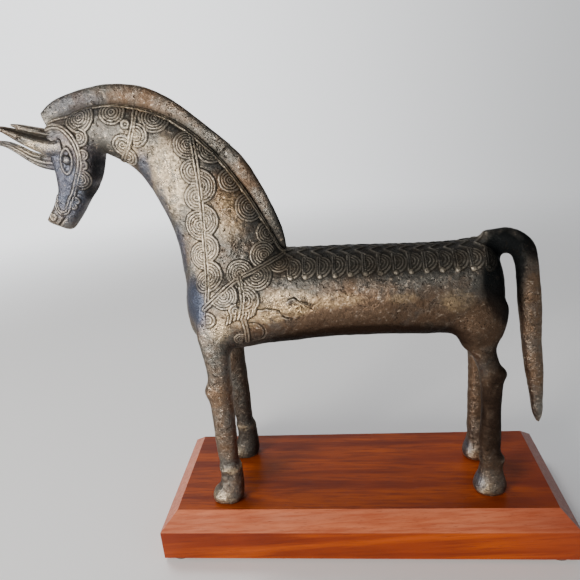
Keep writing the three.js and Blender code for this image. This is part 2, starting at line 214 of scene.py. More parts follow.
def skin(rings):
    """(vertices, faces) of the closed surface over the rings, facing out."""
    count, around = rings.shape[:2]
    v = rings.reshape(-1, 3)
    i, j = np.meshgrid(np.arange(count - 1), np.arange(around), indexing="ij")
    k, this, following = (j + 1) % around, i * around, (i + 1) * around
    quads = np.stack([this + j, this + k, following + k, following + j], -1).reshape(-1, 4)
    a, b, c, d = (v[quads[:, n]] for n in range(4))
    volume = np.einsum("ij,ij->", a, np.cross(b, c)) + np.einsum("ij,ij->", a, np.cross(c, d))
    faces = quads.tolist()
    faces.append(list(range(around))[::-1])
    faces.append(list(range((count - 1) * around, count * around)))
    if volume < 0:
        faces = [f[::-1] for f in faces]
    return v, faces


def new_mesh(name, v, faces):
    mesh = bpy.data.meshes.new(name)
    mesh.from_pydata(v, [], faces)
    mesh.update()
    return mesh


def read(items, field, width, kind=float):
    values = np.empty(len(items) * width, kind)
    items.foreach_get(field, values)
    return values.reshape(-1, width)


def vertices(mesh):
    return read(mesh.vertices, "co", 3)


def normals(mesh):
    return read(mesh.vertices, "normal", 3)


def edges(mesh):
    return read(mesh.edges, "vertices", 2, int)


def put_vertices(mesh, v):
    mesh.vertices.foreach_set("co", v.ravel())
    mesh.update()


def neighbour_mean(values, e):
    """The mean of each vertex's neighbours' values."""
    count, total = len(values), np.empty_like(values)
    for c in range(values.shape[1]):
        total[:, c] = np.bincount(e[:, 0], values[e[:, 1], c], count)
        total[:, c] += np.bincount(e[:, 1], values[e[:, 0], c], count)
    number = np.bincount(e.ravel(), minlength=count)
    return total / np.maximum(number, 1)[:, None]


def smooth(v, e, weight, rounds):
    for _ in range(rounds):
        v = v + weight[:, None] * (neighbour_mean(v, e) - v)
    return v


def lattice(points, seed):
    """A repeatable random number from 0 to 1 for each whole-numbered point."""
    i = points.astype(np.int64)
    h = i[..., 0] * 374761393 + i[..., 1] * 668265263 + i[..., 2] * 2147483647 + seed * 974634777
    h = (h ^ (h >> 13)) & 0xFFFFFFFF
    h = (h * 1274126177) & 0xFFFFFFFF
    h = h ^ (h >> 16)
    return (h & 0xFFFFFF) / 0xFFFFFF


def noise(points, size, seed=0):
    """Smooth value noise from -1 to 1 with lumps about size across."""
    p = points / size + 1000
    base = np.floor(p)
    f = p - base
    f = f * f * (3 - 2 * f)
    total = np.zeros(len(p))
    for corner in np.ndindex(2, 2, 2):
        share = np.where(corner, f, 1 - f)
        total += lattice(base + corner, seed) * (share[:, 0] * share[:, 1] * share[:, 2])
    return 2 * total - 1


def ramp(low, high, value):
    """0 at low and before it, 1 at high and beyond, and smooth between; low may be the larger."""
    t = np.clip((value - low) / (high - low), 0, 1)
    return t * t * (3 - 2 * t)


def to_part(v):
    return v * MM + HERE


# --- the joined casting

VOXEL = 0.8
# Further from a surface than NEAR, a vertex isn't measured, and counts as FAR from it.
NEAR, FAR = 12, 99.0


def leg_loft(stations, out, set_back):
    """A leg, out from the middle plane, with its hoof set_back behind its knee's line."""
    leaning = []
    for front, rear, z, half in stations:
        shift = set_back * (1 - z / KNEE_HEIGHT)
        leaning.append([front + shift, z, rear + shift, z, half])
    return loft(leaning, step=1.5, segments=40, power=2.3, side_shift=out)


def source_shapes():
    return {
        "torso": loft(BARREL, step=2, segments=96, power=2.25),
        "neck": loft(NECK, step=2, segments=80, power=2.2),
        "head": loft(HEAD, step=1, segments=64, power=3.6),
        "tail": loft(TAIL, step=1.5, segments=40, power=2),
        "front_left_leg": leg_loft(FORELEG, -FRONT_LEG_OUT, 0),
        "front_right_leg": leg_loft(FORELEG, FRONT_LEG_OUT, RIGHT_FRONT_SET_BACK),
        "rear_left_leg": leg_loft(HIND_LEG, -REAR_LEG_OUT, 0),
        "rear_right_leg": leg_loft(HIND_LEG, REAR_LEG_OUT, 0),
    }


def joined(shapes):
    """One closed quad mesh over the outside of all the shapes."""
    all_v, all_f, start = [], [], 0
    for rings in shapes.values():
        v, f = skin(rings)
        all_v.append(v)
        all_f += [[i + start for i in face] for face in f]
        start += len(v)
    mesh = new_mesh("joined", np.concatenate(all_v), all_f)
    obj = add_object("joined", mesh)
    remesh = obj.modifiers.new("remesh", "REMESH")
    remesh.mode, remesh.voxel_size, remesh.adaptivity = "VOXEL", VOXEL, 0
    depsgraph = bpy.context.evaluated_depsgraph_get()
    made = bpy.data.meshes.new_from_object(obj.evaluated_get(depsgraph))
    bpy.data.objects.remove(obj)
    bpy.data.meshes.remove(mesh)
    return made


def distances(v, shapes):
    """Each vertex's distance from each shape's own surface, and the shapes' names."""
    names = list(shapes)
    found = np.full((len(v), len(names)), FAR)
    for k, name in enumerate(names):
        sv, sf = skin(shapes[name])
        low, high = sv.min(0) - NEAR, sv.max(0) + NEAR
        near = np.nonzero(((v > low) & (v < high)).all(1))[0]
        tree = BVHTree.FromPolygons([Vector(p) for p in sv], sf)
        for i in near:
            found[i, k] = tree.find_nearest(v[i])[3]
    return found, names


# --- the ornament

# All of it stands on both sides of the horse. A path is a row of [x, z] points seen from the side,
# laid on the surface. A fan is a half disc of nested threads: [x, z, radius, heading, cut], where
# heading is the way it opens in degrees (0 towards the tail, 90 up) and cut is how far it runs on
# past its centre, up to the strap that it hangs from.

CREST_LINE = [
    [-146, 214.8], [-142.7, 216.3], [-133, 219.4], [-119.8, 221], [-109.6, 220.6], [-100.7, 219],
    [-91.2, 215.6], [-82.7, 211.2], [-76.3, 206.3], [-71, 200.8], [-65.2, 195], [-59.9, 188.3],
    [-54.2, 179.6], [-48.6, 169.5], [-41.9, 157.6], [-37, 147], [-35, 142],
]
CREST_LINE_OUT = 3.7

THROAT_STRAP = [
    [-100.6, 218.6], [-100.8, 215.7], [-101.7, 210.6], [-103.3, 206.1], [-105.5, 201], [-108.9, 196.4],
    [-111.3, 193.8],
]
NECK_STRAP = [
    [-75.4, 204.5], [-73.9, 195.8], [-73.2, 187.3], [-72.8, 178.7], [-72.7, 170], [-72.9, 161.4],
    [-73.2, 153.1], [-73.4, 143.9], [-73.3, 135.3], [-72.9, 129.1], [-73.6, 122],
]
BREAST_STRAP = [
    [-34.5, 141.9], [-38.7, 140.7], [-43.5, 139], [-48.7, 137.1], [-54.3, 135], [-59.4, 132.5],
    [-63.5, 129.7], [-66.9, 127], [-70.6, 123.8], [-75.5, 119.5],
]
SHOULDER_STRAP = [
    [-56.2, 134.6], [-55.1, 129], [-54.7, 124.3], [-55.7, 118.7],
]
GIRTH = [
    [-55.1, 113], [-54.7, 108.5], [-54.7, 105.3], [-55.3, 100],
]
BRIDLE = [
    [-147, 212], [-142.9, 213], [-137.9, 211.8], [-133.9, 208.3], [-131.6, 203.4], [-130.9, 198.3],
    [-131.8, 192.9], [-134.1, 188], [-137, 182.5], [-139.1, 179], [-141.8, 175.4], [-144, 171.4],
]
NOSEBAND = [
    [-148.9, 178.5], [-149.6, 175], [-149.4, 171.8], [-147.8, 169.8], [-145.3, 169.9], [-143.7, 171.8],
]
STRAPS = (THROAT_STRAP, NECK_STRAP, BREAST_STRAP, SHOULDER_STRAP, GIRTH, BRIDLE)

CREST_FANS = [
    [-128.7, 216, 7.6, 282, 3.5], [-111.9, 217.2, 6.4, 270, 3], [-91.9, 213, 7.7, 248, 3],
    [-67, 195.8, 7.2, 222, 1.5], [-58.2, 180.9, 6.3, 211, 2.5], [-50, 166.9, 7.5, 209, 2.5],
    [-42.2, 152.9, 6.3, 208, 2.5],
]
THROAT_FANS = [
    [-105.5, 211.3, 2.6, 180, 2], [-108.5, 201.3, 5.5, 160, 2.5], [-107.3, 195.5, 5, 340, 1.5],
    [-101.2, 206, 6.1, 0, 1.2],
]
NECK_FANS = [
    [-76.9, 199.5, 7, 180, 2], [-75.2, 186.8, 6.3, 180, 2], [-74.6, 174.2, 6.6, 180, 1.5],
    [-74.7, 160.5, 7.8, 180, 1.5], [-74.8, 145, 7, 180, 1.3], [-74.5, 132.5, 5.6, 180, 1],
    [-73, 179.7, 8.5, 0, 0], [-73.5, 162.6, 8.5, 0, 0], [-73.2, 149, 7.6, 0, 0],
    [-72.8, 135, 8.2, 0, 0],
]
BREAST_FANS = [
    [-43.9, 143.2, 7.4, 125, 2], [-55.9, 136.2, 7, 110, 1.5], [-36.4, 139.2, 6.1, 285, 1],
    [-47.5, 134.8, 7.8, 300, 1.5], [-64.4, 126.4, 7.2, 315, 3], [-58.6, 118.9, 4, 200, 1.5],
    [-54, 124, 7.7, 0, 0.8], [-58.1, 101.8, 4.2, 160, 1], [-73.7, 114, 4.1, 0, 1],
]
CHEEK_FANS = [
    [-129.6, 206.9, 4.6, 0, 1], [-129, 198.5, 2.8, 0, 1.5], [-129.9, 193.5, 2.7, 350, 1.5],
    [-133, 186.6, 5.8, 335, 0.8], [-138.4, 175.9, 2.2, 330, 1.5], [-140.4, 172.9, 2.1, 330, 1.5],
]
FANS = CREST_FANS + THROAT_FANS + NECK_FANS + BREAST_FANS + CHEEK_FANS
GIRTH_DISC = [-51.4, 106, 5.8]

# The saddlecloth: a row of wires up each side of the back, each with a fan behind it and a knob
# at its foot, and a plaited edge along the spine.
CLOTH_START, CLOTH_PITCH, CLOTH_COUNT = -31.2, 7.42, 14
CLOTH_FAN_Z, CLOTH_FAN_RADIUS = 137.1, 6.9
CLOTH_WIRE_Z = (139.9, 137, 133.6)
CLOTH_KNOB = (0.7, 133.1, 1.5)
PLAIT = [[1.2, 9.6], [-1.5, 7], [-3.4, 4.6], [-1.5, 2.2], [1.2, 0]]

# Flaws of the casting, on the left side only: two ledges, and a row of crumpled ends of thread.
LOW_LEDGE = [
    [-48.1, 118.1], [-43.5, 118.8], [-39.6, 118], [-36.7, 117.3], [-35.9, 114.5], [-31.1, 112],
]
HIGH_LEDGE = [
    [-33.9, 121.3], [-31.8, 122.7], [-29.2, 123.6], [-26.4, 121.4], [-23.9, 120.7], [-21.5, 119.1],
]
LEDGE_RISE, LEDGE_RUN = 0.75, 5
CRUMPLED = [[-63.4, 113.5], [-57.8, 116.2], [-53.4, 115.7], [-49.1, 118.3]]
CRUMPLED_COUNT = 9
CRUMPLED_END = [[-0.9, -2], [0.1, 0], [0.5, 2]]

EYE_TOP, EYE_BOTTOM = (-136.9, 202.3), (-139.2, 189.6)
EYE_HALF_WIDTH = 2.9
EYE_BALL = (-137.6, 196.6, 2)
NOSTRIL = (-153.3, 167.9, 2.3)
MOUTH = [[-151.5, 163], [-149.2, 165.2], [-147.2, 166.8]]

FAN_PITCH, FAN_HEIGHT, FAN_PLATE = 1.4, 0.38, 0.12

# How a thread or a pair of threads is laid: how high, how far each is out from the path, half its
# width, how rubbed its back is, how high the plate under it is, and how far it wanders.
STRAP = dict(height=0.52, out=0.75, half=0.7, rubbed=0.4, plate=0.1, wander=0.8)
NOSEBAND_STRAP = {**STRAP, "height": 0.32, "out": 0.6, "half": 0.5}
CREST_WIRES = {**STRAP, "height": 0.75, "rubbed": 0.9}
CLOTH_WIRES = {**STRAP, "height": 0.55, "out": 0.55, "half": 0.5, "rubbed": 0}
ONE = dict(out=0, rubbed=0, plate=0, wander=0)
PLAIT_THREAD = dict(ONE, height=0.5, half=0.9)
EYE_RIM = dict(ONE, height=0.42, half=0.55)
CRUMPLED_THREAD = dict(ONE, height=0.75, half=0.65, rubbed=1)
KNOB_HEIGHT, BALL_HEIGHT = 0.8, 1.1
# How far beside a thread the surface is refined, and how wide the dark rim along it is.
BESIDE, RIM = 1.2, 0.5
# How deep each cut is, and half its width.
ARC_CUT, MOUTH_CUT = (0.4, 0.7), (0.7, 1)

# Rays start this far outside the horse, and above its back.
OUTSIDE, ABOVE = 60, 200


def side_hit(tree, x, z, side):
    """The point of the surface at x, z on that side of the horse, and its normal."""
    hit, normal, _, _ = tree.ray_cast(Vector((x, side * OUTSIDE, z)), Vector((0, -side, 0)))
    return (None, None) if hit is None else (np.array(hit), np.array(normal))


def top_hit(tree, x, y):
    hit, _, _, _ = tree.ray_cast(Vector((x, y, ABOVE)), Vector((0, 0, -1)))
    return None if hit is None else np.array(hit)


def dense(path, gap=0.8):
    p = np.array(path, float)
    count = int(np.ceil(np.linalg.norm(np.diff(p, axis=0), axis=1).sum() / gap))
    return catmull(p, np.linspace(0, len(p) - 1, count + 1))


def path_on_side(tree, path, side):
    found = [side_hit(tree, x, z, side)[0] for x, z in dense(path)]
    return np.array([p for p in found if p is not None])


def path_distance(v, path, reach=4):
    """Each vertex's distance from the path."""
    best = np.full(len(v), FAR)
    near = np.nonzero(((v > path.min(0) - reach) & (v < path.max(0) + reach)).all(1))[0]
    p, found = v[near], np.full(len(near), FAR)
    for a, b in zip(path, path[1:]):
        d = b - a
        t = np.clip((p - a) @ d / max(d @ d, 1e-9), 0, 1)
        found = np.minimum(found, np.linalg.norm(p - a - t[:, None] * d, axis=1))
    best[near] = found
    return best


def bead(distance, half):
    """The rounded section of a thread: 1 along its middle, 0 at its edges."""
    return np.sqrt(np.clip(1 - (distance / half) ** 2, 0, 1))


class Relief:
    """What the ornament adds to each vertex of the casting, filled in piece by piece."""

    def __init__(self, v):
        self.v = v
        self.height = np.zeros(len(v))
        self.thread = np.zeros(len(v))
        self.groove = np.zeros(len(v))
        self.near = np.zeros(len(v), bool)
        self.rubbed = np.zeros(len(v))
        # threads laid by hand wander a little
        self.wander = 0.2 * noise(v, 4.5, 8) + 0.1 * noise(v, 1.8, 9)

    def put(self, where, height, thread, groove, rubbed):
        self.height[where] = height[where]
        self.thread[where] = thread[where]
        self.groove[where] = groove[where]
        self.rubbed[where] = rubbed * thread[where]

    def edge(self, rim, depth):
        self.groove[rim] = np.maximum(self.groove[rim], depth)

    def fan(self, centre, normal, side, radius, heading, cut):
        turn = math.radians(heading)
        out = np.array([math.cos(turn), 0, math.sin(turn)])
        out = out - normal * (out @ normal)
        out /= max(np.linalg.norm(out), 1e-6)
        q = self.v - centre
        r = np.linalg.norm(q, axis=1) + self.wander
        opened = (q @ out > -cut) & (self.v[:, 1] * side > 0)
        self.near |= (r < radius + 0.8) & (q @ out > -cut - 1.5) & (self.v[:, 1] * side > -1)
        count = max(1, round(radius / FAN_PITCH - 0.45))
        pitch = radius / (count + 0.45)
        ring = (radius - r) / pitch
        middle = np.minimum(np.floor(ring), count) + 0.5
        thread = bead(ring - middle, 0.47)
        thread = np.where(ring > count, bead(r, 0.47 * pitch), thread)
        inside = opened & (r < radius)
        rim = opened & (r >= radius) & (r < radius + 0.6) & (self.thread < 0.3)
        self.put(inside, FAN_PLATE + FAN_HEIGHT * thread, thread, 1 - thread, 0.25)
        self.edge(rim, 0.7)

    def wires(self, path, height, out, half, rubbed, plate, wander):
        """Two threads side by side along the path, or a single one where out is 0."""
        d = path_distance(self.v, path)
        self.near |= d < out + half + BESIDE
        d = d + wander * self.wander
        thread = bead(d - out, half)
        self.put(d < out + half, plate + height * thread, thread, 1 - thread, rubbed)
        self.edge((d >= out + half) & (d < out + half + RIM) & (self.thread < 0.5), 0.8)

    def knob(self, centre, radius, height):
        r = np.linalg.norm(self.v - centre, axis=1)
        self.near |= r < radius + 1
        dome = bead(r, radius)
        self.put(r < radius, height * dome, np.maximum(dome, 0.6), 0 * dome, 0.7)

    def cut(self, path, depth, half):
        d = path_distance(self.v, path)
        self.near |= d < half + 0.8
        share = np.clip(1 - d / half, 0, 1)
        self.height -= depth * share
        self.groove = np.maximum(self.groove, share)

    def ledge(self, path, side, rise, run):
        """A step in the skin: it stands proud below the path, and dies away over run."""
        x, z = np.array(path, float).T
        here = np.interp(self.v[:, 0], x, z) - self.v[:, 2] + 2.5 * self.wander
        ends = ramp(x[0] - 1, x[0] + 3, self.v[:, 0])
        ends = ends * (1 - ramp(x[-1] - 3, x[-1] + 1, self.v[:, 0]))
        ends = ends * (self.v[:, 1] * side > 0)
        self.near |= (np.abs(here) < 2.5) & (ends > 0)
        self.height += rise * ends * np.exp(-np.clip(here, 0, None) / run) * (here > 0)
        crack = ends * np.clip(1 - np.abs(here + 0.3) / 0.6, 0, 1)
        self.height -= 0.35 * crack
        self.groove = np.maximum(self.groove, crack)


def eye_outline(share):
    """Points of the almond's rim, seen from the side, for share from 0 to 1 round it."""
    top, bottom = np.array(EYE_TOP), np.array(EYE_BOTTOM)
    axis = bottom - top
    across = np.array([axis[1], -axis[0]]) / np.linalg.norm(axis)
    turn = share * 2 * np.pi
    down = (1 - np.cos(turn)) / 2
    bulge = EYE_HALF_WIDTH * np.sign(np.sin(turn)) * np.abs(np.sin(turn)) ** 1.3
    return top + down[:, None] * axis + bulge[:, None] * across


def ornament(v, tree):
    relief = Relief(v)
    for side in (-1, 1):

        def hit(x, z):
            return side_hit(tree, x, z, side)

        def laid(path):
            return path_on_side(tree, path, side)

        for k in range(CLOTH_COUNT):
            c, n = hit(CLOTH_START + CLOTH_PITCH * k, CLOTH_FAN_Z)
            relief.fan(c, n, side, CLOTH_FAN_RADIUS, 0, 0)
        for k in range(CLOTH_COUNT):
            x = CLOTH_START + CLOTH_PITCH * k
            relief.wires(laid([[x, z] for z in CLOTH_WIRE_Z]), **CLOTH_WIRES)
            shift, z, radius = CLOTH_KNOB
            relief.knob(hit(x + shift, z)[0], radius, KNOB_HEIGHT)
            plait = [top_hit(tree, x + a, side * b) for a, b in dense(PLAIT, 0.6)]
            relief.wires(np.array([p for p in plait if p is not None]), **PLAIT_THREAD)
        for x, z, radius, heading, cut in FANS:
            c, n = hit(x, z)
            if c is not None:
                relief.fan(c, n, side, radius, heading, cut)
        for path in STRAPS:
            relief.wires(laid(path), **STRAP)
        relief.wires(laid(NOSEBAND), **NOSEBAND_STRAP)
        ridge = [Vector((x, side * CREST_LINE_OUT, z)) for x, z in dense(CREST_LINE)]
        ridge = [tree.find_nearest(point)[0] for point in ridge]
        relief.wires(np.array(ridge), **CREST_WIRES)
        rim = [hit(x, z)[0] for x, z in eye_outline(np.linspace(0, 1, 49))]
        relief.wires(np.array(rim), **EYE_RIM)
        x, z, radius = EYE_BALL
        relief.knob(hit(x, z)[0], radius, BALL_HEIGHT)
        x, z, radius = NOSTRIL
        relief.fan(*hit(x, z), side, radius, 0, radius)
        x, z, radius = GIRTH_DISC
        turns = [math.radians(a) for a in np.linspace(-100, 100, 40)]
        arc = [[x + radius * math.cos(a), z + radius * math.sin(a)] for a in turns]
        relief.cut(np.array([hit(*at)[0] for at in arc]), *ARC_CUT)
        relief.cut(laid(MOUTH), *MOUTH_CUT)
    for x, z in catmull(np.array(CRUMPLED), np.linspace(0, len(CRUMPLED) - 1, CRUMPLED_COUNT)):
        end = [[x + a, z + b] for a, b in CRUMPLED_END]
        relief.wires(path_on_side(tree, end, -1), **CRUMPLED_THREAD)
    for path in (LOW_LEDGE, HIGH_LEDGE):
        relief.ledge(path, -1, LEDGE_RISE, LEDGE_RUN)
    return relief


# --- finer where it matters


def refined(v, quads, chosen, extra):
    """The vertices, faces and extra for each vertex, with the chosen quads split in four."""
    count = len(v)
    pairs = np.sort(np.stack([quads, np.roll(quads, -1, axis=1)], -1), -1)
    keys = pairs[..., 0] * count + pairs[..., 1]
    unique, edge = np.unique(keys.ravel(), return_inverse=True)
    edge = edge.reshape(quads.shape)
    split = np.zeros(len(unique), bool)
    split[edge[chosen].ravel()] = True
    number = np.where(split, count + np.cumsum(split) - 1, -1)
    ends = np.stack([unique[split] // count, unique[split] % count], -1)
    centre = count + split.sum() + np.arange(chosen.sum())
    q, m = quads[chosen], number[edge[chosen]]
    new = [np.stack([q[:, i], m[:, i], centre, m[:, i - 1]], -1) for i in range(4)]
    faces = np.concatenate(new).tolist()
    others, marks = quads[~chosen], number[edge[~chosen]]
    plain = (marks < 0).all(1)
    faces += others[plain].tolist()
    for corners, middles in zip(others[~plain].tolist(), marks[~plain].tolist()):
        face = []
        for corner, middle in zip(corners, middles):
            face += [corner] if middle < 0 else [corner, middle]
        faces.append(face)

    def spread(values):
        return np.concatenate([values, values[ends].mean(1), values[q].mean(1)])

    return spread(v), faces, spread(extra)


# --- the casting, piece by piece

FILLET = {"torso": 5.0, "neck": 5.0, "head": 2.2, "tail": 3.0}
LEG_FILLET = 4.5
FILLET_WEIGHT, FILLET_ROUNDS = 0.6, 60
EVEN_WEIGHT, EVEN_ROUNDS = 0.5, 4
# A casting is never quite true: slow swells, and the small dents of worked wax, [height, size, seed].
SWELLS = [[0.36, 17, 1], [0.14, 6, 2], [0.09, 2.4, 3]]
SET_IN, HOOF_CLEARANCE = 0.25, 0.02


def cast_surface():
    """The whole casting: its vertices, faces, distances from each source shape, and relief."""
    shapes = source_shapes()
    mesh = joined(shapes)
    v, e, quads = vertices(mesh), edges(mesh), read(mesh.polygons, "vertices", 4, int)
    far, names = distances(v, shapes)
    order = np.sort(far, axis=1)
    first, second = np.argmin(far, axis=1), np.argsort(far, axis=1)[:, 1]
    size = np.array([FILLET.get(n, LEG_FILLET) for n in names])
    size = np.minimum(size[first], size[second])
    v = smooth(v, e, FILLET_WEIGHT * np.exp(-((order[:, 1] / size) ** 2)), FILLET_ROUNDS)
    v = smooth(v, e, np.full(len(v), EVEN_WEIGHT), EVEN_ROUNDS)
    put_vertices(mesh, v)
    tree = BVHTree.FromPolygons([Vector(p) for p in v], quads.tolist())
    marks = ornament(v, tree)
    chosen = marks.near[quads].any(1)
    v, faces, far = refined(v, quads, chosen, far)
    fine = new_mesh("casting", v, faces)
    n = normals(fine)
    swell = sum(height * noise(v, size, seed) for height, size, seed in SWELLS)
    marks = ornament(v, tree)
    calm = 1 - 0.6 * np.clip(marks.thread + marks.groove, 0, 1)
    v = v + n * (swell * calm + marks.height - SET_IN)[:, None]
    v[:, 2] = np.maximum(v[:, 2], HOOF_CLEARANCE)
    put_vertices(fine, v)
    return fine, faces, far, names, marks


def open_loops(faces):
    """The loops of edges where the faces stop, each edge run the way a face beyond it would."""
    count = {}
    for f in faces:
        for a, b in zip(f, f[1:] + f[:1]):
            count[a, b] = 1
    rim = [(b, a) for a, b in count if (b, a) not in count]
    head = {}

    def root(i):
        while head.setdefault(i, i) != i:
            head[i] = head[head[i]]
            i = head[i]
        return i

    for a, b in rim:
        head[root(a)] = root(b)
    loops = {}
    for a, b in rim:
        loops.setdefault(root(a), []).append((a, b))
    return list(loops.values())


def face_labels(faces, far, v_count):
    """The source shape nearest to each face, with stray islands given to what surrounds them."""
    lengths = np.array([len(f) for f in faces])
    flat = np.concatenate([np.array(f) for f in faces])
    owner = np.repeat(np.arange(len(faces)), lengths)
    mean = np.stack([np.bincount(owner, far[flat, k]) / lengths for k in range(far.shape[1])], -1)
    label = np.argmin(mean, axis=1)
    following = np.concatenate([np.roll(np.array(f), -1) for f in faces])
    low, high = np.minimum(flat, following), np.maximum(flat, following)
    order = np.argsort(low * v_count + high, kind="stable")
    pair = owner[order].reshape(-1, 2)
    neighbours = [[] for _ in faces]
    for a, b in pair.tolist():
        neighbours[a].append(b)
        neighbours[b].append(a)
    group = np.full(len(faces), -1)
    groups = []
    for start in range(len(faces)):
        if group[start] >= 0:
            continue
        here, queue = len(groups), [start]
        group[start] = here
        members = []
        while queue:
            f = queue.pop()
            members.append(f)
            for g in neighbours[f]:
                if group[g] < 0 and label[g] == label[start]:
                    group[g] = here
                    queue.append(g)
        groups.append(members)
    largest = {}
    for members in groups:
        kind = label[members[0]]
        if len(members) > len(largest.get(kind, [])):
            largest[kind] = members
    for members in sorted(groups, key=len):
        if members is largest[label[members[0]]]:
            continue
        outside = [label[g] for f in members for g in neighbours[f] if label[g] != label[f]]
        if outside:
            label[members] = np.bincount(outside).argmax()
    return label


def mean_edge(v, e):
    """The mean length of the edges at each vertex."""
    count, length = len(v), np.linalg.norm(v[e[:, 0]] - v[e[:, 1]], axis=1)
    total = np.bincount(e[:, 0], length, count) + np.bincount(e[:, 1], length, count)
    return total / np.maximum(np.bincount(e.ravel(), minlength=count), 1)


def bend(v, e, n, rounds=2):
    """How convex the surface is at each vertex, in 1/mm; hollows are negative."""
    inward = v - neighbour_mean(v, e)
    value = np.einsum("ij,ij->i", inward, n) / mean_edge(v, e) ** 2
    for _ in range(rounds):
        value = (value + neighbour_mean(value[:, None], e)[:, 0]) / 2
    return 4 * value


# Soft patches of patina and tone, and of painted light, seen from the side: [x, z, reach along x, reach
# along z, strength].

WARM = [
    [-88, 222, 26, 9, 0.6], [-58, 172, 10, 18, 0.8], [0, 112, 74, 17, 0.9], [-36, 116, 20, 9, 0.5],
    [40, 112, 40, 12, 0.6], [60, 100, 16, 22, 0.9], [72, 50, 14, 46, 0.8], [94, 90, 10, 60, 0.5],
    [-45, 190, 12, 14, 0.6], [-72, 62, 10, 52, 0.35],
]
# Dark patches. The ones under the barrel ([8, 97, ...], [14, 101, ...]) and down the rear of the jaw
# ([-121, 202, ...], [-125, 190, ...], [-131, 178, ...]) are painted shade.
DARK = [
    [20, 140, 70, 12, 0.82], [75, 126, 16, 28, 1.25], [92, 142, 15, 15, 0.95], [-121, 202, 4, 7, 0.35],
    [-125, 190, 3.4, 9, 0.7], [-131, 178, 3.4, 8, 0.7], [8, 97, 76, 13, 1.1], [14, 101, 72, 16, 0.62],
    [40, 114, 36, 18, 0.55], [-45, 186, 8, 12, 0.45], [-33, 162, 8, 17, 0.65], [73, 51, 13, 42, 0.97],
    [66, 103, 16, 18, 0.68], [74, 86, 14, 14, 0.8], [-112, 226, 50, 10, 0.3],
]
# Pale patches: partly metal rubbed bare, partly painted highlight, as the bright band along the barrel
# ([-34, 121, ...], [-10, 121, ...], [24, 121, ...]) and the glints on the two ledges ([-42, 114.5,
# ...], [-29, 118, ...]).
PALE = [
    [-88, 184, 10, 20, 0.75], [-34, 121, 18, 7, 1.0], [-10, 121, 16, 4, 0.5], [-42, 114.5, 7, 4, 1.8],
    [-29, 118, 7, 4, 1.8], [-56, 116, 12, 8, 0.7], [-68, 109, 6, 7, 1.0], [50, 118, 9, 6, 0.7],
    [24, 121, 8, 3, 0.5], [-74, 152, 7, 44, 0.45], [-60, 165, 9, 14, 0.5], [-104, 202, 9, 8, 0.6],
    [-152, 203, 18, 4, 1.0], [-80, 4, 9, 5, 0.65], [-73, 22.5, 10, 2, 0.7], [67, 4, 9, 5, 0.6],
]
# Bluish tints. The one down the rear of the jaw ([-126, 190, ...]) is painted shade, the blue of that
# shaded side.
BLUE = [
    [-81, 121, 9, 14, 1.0], [-100, 188, 4, 12, 0.6], [-94, 168, 4, 16, 0.6], [-88, 146, 4, 16, 0.7],
    [-142, 186, 14, 26, 0.8], [-170, 203, 18, 6, 0.25], [-132, 222, 18, 8, 0.35],
    [-126, 190, 6, 16, 0.5], [62, 8, 6, 8, 0.6],
]
# A patch is whole out to the first share of its reach, and gone at the second.
PATCH_FADE = (0.45, 1.25)

PATINA_AND_PAINTED_LIGHT = {"warm": WARM, "dark": DARK, "pale": PALE, "blue": BLUE}
# The far legs lie beyond FAR_SIDE and below FAR_TOP, fading between its heights.
FAR_SIDE, FAR_TOP, FAR_SHADE = 6, (98, 82), 0.6


def patches(v, places):
    total = np.zeros(len(v))
    for x, z, dx, dz, strength in places:
        r = np.hypot((v[:, 0] - x) / dx, (v[:, 2] - z) / dz)
        total = np.maximum(total, strength * (1 - ramp(*PATCH_FADE, r)))
    return total


def patina_and_painted_light(v):
    return {name: patches(v, places) for name, places in PATINA_AND_PAINTED_LIGHT.items()}


def finished(name, v, faces, n, values, material):
    """A riding piece named after its CAD node, in metres, with its values and its material."""
    mesh = new_mesh(name, to_part(v), faces)
    mesh.shade_smooth()
    if n is not None:
        mesh.normals_split_custom_set_from_vertices(n)
    for key, value in values.items():
        column = mesh.attributes.new(key, "FLOAT", "POINT").data
        column.foreach_set("value", value.astype(np.float32))
    mesh.materials.append(material)
    obj = add_object(name + "_casting", mesh)
    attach(obj, "root")
    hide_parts(name)


def casting_pieces(material):
    mesh, faces, far, names, marks = cast_surface()
    v, e, n = vertices(mesh), edges(mesh), normals(mesh)
    values = patina_and_painted_light(v)
    values["groove"], values["convex"] = marks.groove, bend(v, e, n)
    # the far foreleg is in shadow, and the far hind leg catches the light
    far_leg = FAR_SHADE * (v[:, 1] > FAR_SIDE) * ramp(*FAR_TOP, v[:, 2])
    dark = values["dark"] * (1 - far_leg * (v[:, 0] > 0))
    values["dark"] = np.maximum(dark, far_leg * (v[:, 0] < 0))
    # the threads of the head are less rubbed than the others
    rubbed = marks.rubbed * (1 - 0.7 * ramp(-122, -132, v[:, 0]))
    values["pale"] = np.maximum(values["pale"], rubbed)
    label = face_labels(faces, far, len(v))
    for k, name in enumerate(names):
        own = [faces[i] for i in np.nonzero(label == k)[0]]
        used = np.unique(np.concatenate([np.array(f) for f in own]))
        number = np.full(len(v), -1)
        number[used] = np.arange(len(used))
        own = [number[f].tolist() for f in own]
        piece_v, piece_n = v[used], n[used]
        piece_values = {key: value[used] for key, value in values.items()}
        for loop in open_loops(own):
            middle = piece_v[[a for a, _ in loop]].mean(0)
            at = len(piece_v)
            piece_v = np.vstack([piece_v, middle])
            piece_n = np.vstack([piece_n, [0, 0, 0]])
            piece_values = {key: np.append(value, 0) for key, value in piece_values.items()}
            own += [[a, b, at] for a, b in loop]
        finished(name, piece_v, own, piece_n, piece_values, material)
    bpy.data.meshes.remove(mesh)


# --- crest, ears and forelock


